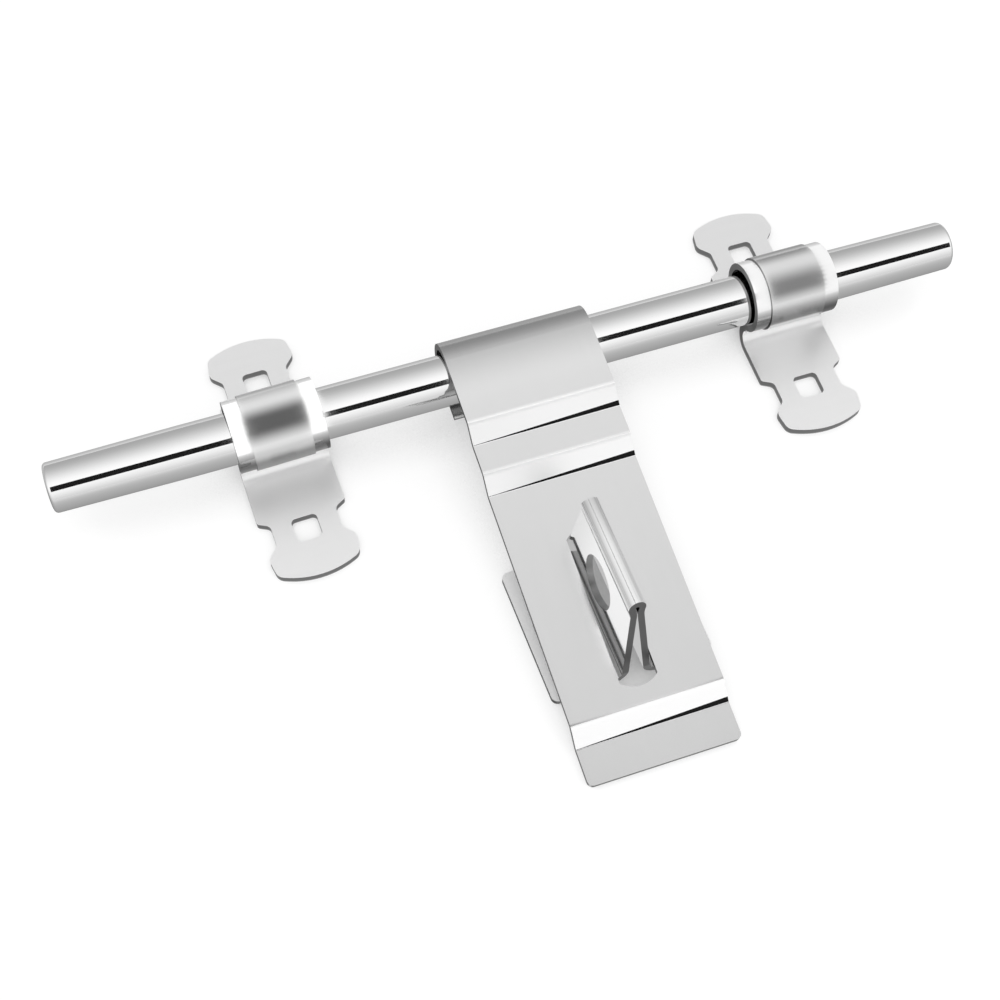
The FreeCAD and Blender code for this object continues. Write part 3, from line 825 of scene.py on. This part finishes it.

# The painted shade line in each corner is wider towards one side.
crease_shade_width = between(tree, spot["X"], *CREASE_X, *CREASE_SHADE_WIDTH)
crease_shade = 0.0
for start in STEP_STARTS:
    to_corner = maths(tree, "SUBTRACT", start + STEP_RUN + CREASE_SHIFT, along_leaf)
    inside = maths(tree, "MULTIPLY", maths(tree, "GREATER_THAN", to_corner, 0.0),
                   maths(tree, "LESS_THAN", to_corner, crease_shade_width))
    crease_shade = maths(tree, "ADD", inside, crease_shade)
crease_shade = maths(tree, "MULTIPLY", crease_shade, upward)
print("creases up to", 1000 * CREASE_SHADE_WIDTH[1], "mm wide")

# %% Cut edges of the hasp
SLOT_REGION = 0.05

sides = cut_mask(tree, place, (1, 0, 0))
tips = cut_mask(tree, place, (0, -math.cos(HASP_LEAN), -math.sin(HASP_LEAN)))
far_out = maths(tree, "GREATER_THAN", along_leaf, SLOT_REGION)
cut = maths(tree, "MAXIMUM", sides, maths(tree, "MULTIPLY", tips, far_out))
print("cut edges found by their direction")

# %% Brightness and painted shade of the hasp's sheet
WRAP_SHADED_BRIGHTNESS = 0.45
LEAF_BRIGHTNESS = 0.83
WRAP_END = (-0.0105, 0.011)
FIRST_LAND = 0.012
TIP_SHADE = 0.26
TIP_COURSE = 0.7
UNDERSIDE_SHADE = 0.55
DOWNWARD = (-0.1, -0.4)
FOLD_END = (0.024, 0.016)
TAIL_TOP = (0.0145, 0.0120)
TAIL_END = (0.024, 0.018)

# Painted shade: darker on the fold round the rod than out on the leaf.
fold_shaded = ramp(tree, along_leaf, *WRAP_END, WRAP_SHADED_BRIGHTNESS, LEAF_BRIGHTNESS)
outward = between(tree, along_leaf, FIRST_LAND, LEAF_LENGTH)
# Painted shade: the leaf darkens a little towards the tip.
shade_loss = maths(tree, "MULTIPLY", maths(tree, "POWER", outward, TIP_COURSE), TIP_SHADE)
sheet = maths(tree, "MULTIPLY", fold_shaded, maths(tree, "SUBTRACT", 1.0, shade_loss))
# Painted shade under the fold and on its short tail.
under_fold = maths(tree, "MULTIPLY", ramp(tree, facing["Z"], *DOWNWARD), ramp(tree, along_leaf, *FOLD_END))
on_tail = maths(tree, "MULTIPLY", ramp(tree, spot["Z"], *TAIL_TOP), ramp(tree, along_leaf, *TAIL_END))
underside_shaded = maths(tree, "MULTIPLY_ADD", maths(tree, "MAXIMUM", under_fold, on_tail), -UNDERSIDE_SHADE, 1.0)
sheet = maths(tree, "MULTIPLY", sheet, underside_shaded)
print("hasp sheet from", WRAP_SHADED_BRIGHTNESS, "on the fold to", LEAF_BRIGHTNESS, "on the leaf")

# %% Hasp finish
HASP_ROUGHNESS = 0.2
SLOPE_HIGHLIGHT_BRIGHTNESS = 0.99
SLOPE_ROUGHNESS = 0.40
HASP_CUT_SHADED_BRIGHTNESS = 0.12
CREASE_SHADE_BRIGHTNESS = 0.015
CREASE_ROUGHNESS = 0.5
HASP_RELIEF = 8e-7

brightness = varied(tree, sheet, waves["Tone"], WAVER["hasp"][0])
brightness = varied(tree, brightness, grain["Tone"], GRAIN_TONE)
# Painted highlight: the buffed slopes are painted near white.
brightness = mixed(tree, slope, brightness, SLOPE_HIGHLIGHT_BRIGHTNESS)
# Painted shade: the cut edges are darker, as well as duller.
brightness = mixed(tree, cut, brightness, HASP_CUT_SHADED_BRIGHTNESS)
# Painted shade: a thin dark line in the corner under each slope.
brightness = mixed(tree, crease_shade, brightness, CREASE_SHADE_BRIGHTNESS)
tree.links.new(grey(tree, brightness), shader["Base Color"])
roughness = varied(tree, HASP_ROUGHNESS, waves["Tone"], WAVER["hasp"][1])
roughness = mixed(tree, slope, roughness, SLOPE_ROUGHNESS)
roughness = mixed(tree, cut, roughness, CUT_ROUGHNESS)
roughness = mixed(tree, crease_shade, roughness, CREASE_ROUGHNESS)
tree.links.new(roughness, shader["Roughness"])
relief(tree, shader, grain["Height"], HASP_RELIEF)
print("hasp finish", LEAF_BRIGHTNESS, HASP_ROUGHNESS)

# %% [markdown]
# The staple is the brightest piece: its leaves were buffed, and the ends where
# the sheet was cut are dull and painted dark as shade, the near end darker than
# the far one. Between the leaves and in the padlock hole the colour is painted
# greyer as shade, the leaves darken a little towards one end, and the sheared
# sides of the flanges are painted nearly black as shade. The tops of the
# flanges are matt and light, because they lie close under the hasp, which they
# would mirror as a dark patch.

# %% Ends and hole of the staple
STAPLE_TURN = math.radians(2)
STAPLE_PLACE = -0.081
NEAR_END_SHADED_BRIGHTNESS = 0.14
FAR_END_SHADED_BRIGHTNESS = 0.5
HOLE_CENTRE = (0.0022, 0.019716)
HOLE_RADIUS = 0.0082
HOLE_SPARE = 1.5e-4

staple_steel, tree, place, grain, waves, shader = steel("staple_steel", stretch=(1, 0.02, 1),
                                                        lines=2600, patches=60)
along = (-math.sin(STAPLE_TURN), math.cos(STAPLE_TURN), 0)
spot = split(tree, place["Object"])
along_place = component(tree, place["Object"], along)
from_middle = maths(tree, "SUBTRACT", along_place, STAPLE_PLACE * math.cos(STAPLE_TURN))
far_end = maths(tree, "GREATER_THAN", component(tree, place["Normal"], along), 0.0)
# Painted shade: the cut ends are dark, the near end darker than the far one.
end_shaded_brightness = mixed(tree, far_end, NEAR_END_SHADED_BRIGHTNESS, FAR_END_SHADED_BRIGHTNESS)
ends = cut_mask(tree, place, along)
from_hole = distance(tree, maths(tree, "SUBTRACT", from_middle, HOLE_CENTRE[0]),
                     maths(tree, "SUBTRACT", spot["Z"], HOLE_CENTRE[1]))
wall = maths(tree, "LESS_THAN", from_hole, HOLE_RADIUS + HOLE_SPARE)
print("padlock hole", round(2000 * HOLE_RADIUS, 1), "mm wide")

# %% Inner faces and flanges of the staple
STEEP = (0.3, 0.5)
FLANGE_HEIGHT = (0.0035, 0.0027)

across = (math.cos(STAPLE_TURN), math.sin(STAPLE_TURN), 0)
beside = component(tree, place["Object"], across)
from_seam = maths(tree, "SUBTRACT", beside, STAPLE_PLACE * math.sin(STAPLE_TURN))
outward = component(tree, place["Normal"], across)
steep = ramp(tree, maths(tree, "ABSOLUTE", outward), *STEEP)
turned_in = maths(tree, "LESS_THAN", maths(tree, "MULTIPLY", outward, from_seam), 0.0)
inner = maths(tree, "MULTIPLY", steep, turned_in)
low_down = ramp(tree, spot["Z"], *FLANGE_HEIGHT)
flange_wall = maths(tree, "MULTIPLY", steep, low_down)
print("inner faces found by the side that they turn to")

# %% Staple finish
STAPLE_BRIGHTNESS = 0.98
INNER_SHADED_BRIGHTNESS = 0.75
HOLE_SHADED_BRIGHTNESS = 0.40
FLANGE_WALL_SHADED_BRIGHTNESS = 0.05
CORNER_REGION = (0.002, 0.0215)
CORNER_SHADE_SHARE = 0.78
STAPLE_ROUGHNESS = 0.11
STAPLE_CUT_ROUGHNESS = 0.35
FLANGE_TOP_ROUGHNESS = 0.5
STAPLE_RELIEF = 6e-7

# Painted shade: the leaves darken a little towards one end.
shade = ramp(tree, from_middle, *CORNER_REGION, 1.0, CORNER_SHADE_SHARE)
shade = mixed(tree, low_down, shade, 1.0)
brightness = varied(tree, STAPLE_BRIGHTNESS, waves["Tone"], WAVER["staple"][0])
brightness = maths(tree, "MULTIPLY", brightness, shade)
# Painted shade between the leaves, in the padlock hole and on the flanges' sheared sides.
brightness = mixed(tree, inner, brightness, INNER_SHADED_BRIGHTNESS)
brightness = mixed(tree, ends, brightness, end_shaded_brightness)
brightness = mixed(tree, wall, brightness, HOLE_SHADED_BRIGHTNESS)
brightness = mixed(tree, flange_wall, brightness, FLANGE_WALL_SHADED_BRIGHTNESS)
tree.links.new(grey(tree, brightness), shader["Base Color"])
roughness = varied(tree, STAPLE_ROUGHNESS, waves["Tone"], WAVER["staple"][1])
roughness = mixed(tree, low_down, roughness, FLANGE_TOP_ROUGHNESS)
roughness = mixed(tree, maths(tree, "MAXIMUM", ends, wall), roughness, STAPLE_CUT_ROUGHNESS)
tree.links.new(roughness, shader["Roughness"])
tree.links.new(maths(tree, "SUBTRACT", 1.0, low_down), shader["Metallic"])
relief(tree, shader, grain["Height"], STAPLE_RELIEF)
print("staple finish", STAPLE_BRIGHTNESS, STAPLE_ROUGHNESS)

# %% [markdown]
# ## Dress the pieces
#
# The CAD shapes are right, so they stay and only get their finish. A material
# goes into the object's slots, and the mesh itself isn't touched.

# %% Put the finishes on
finishes = {"rod": rod_steel, "hasp": hasp_steel, "staple": staple_steel, **guide_finishes}
for name, finish in finishes.items():
    piece = nodes[name]
    for holder in piece.material_slots:
        holder.link = "OBJECT"
        holder.material = finish
    print(name, "gets", finish.name)
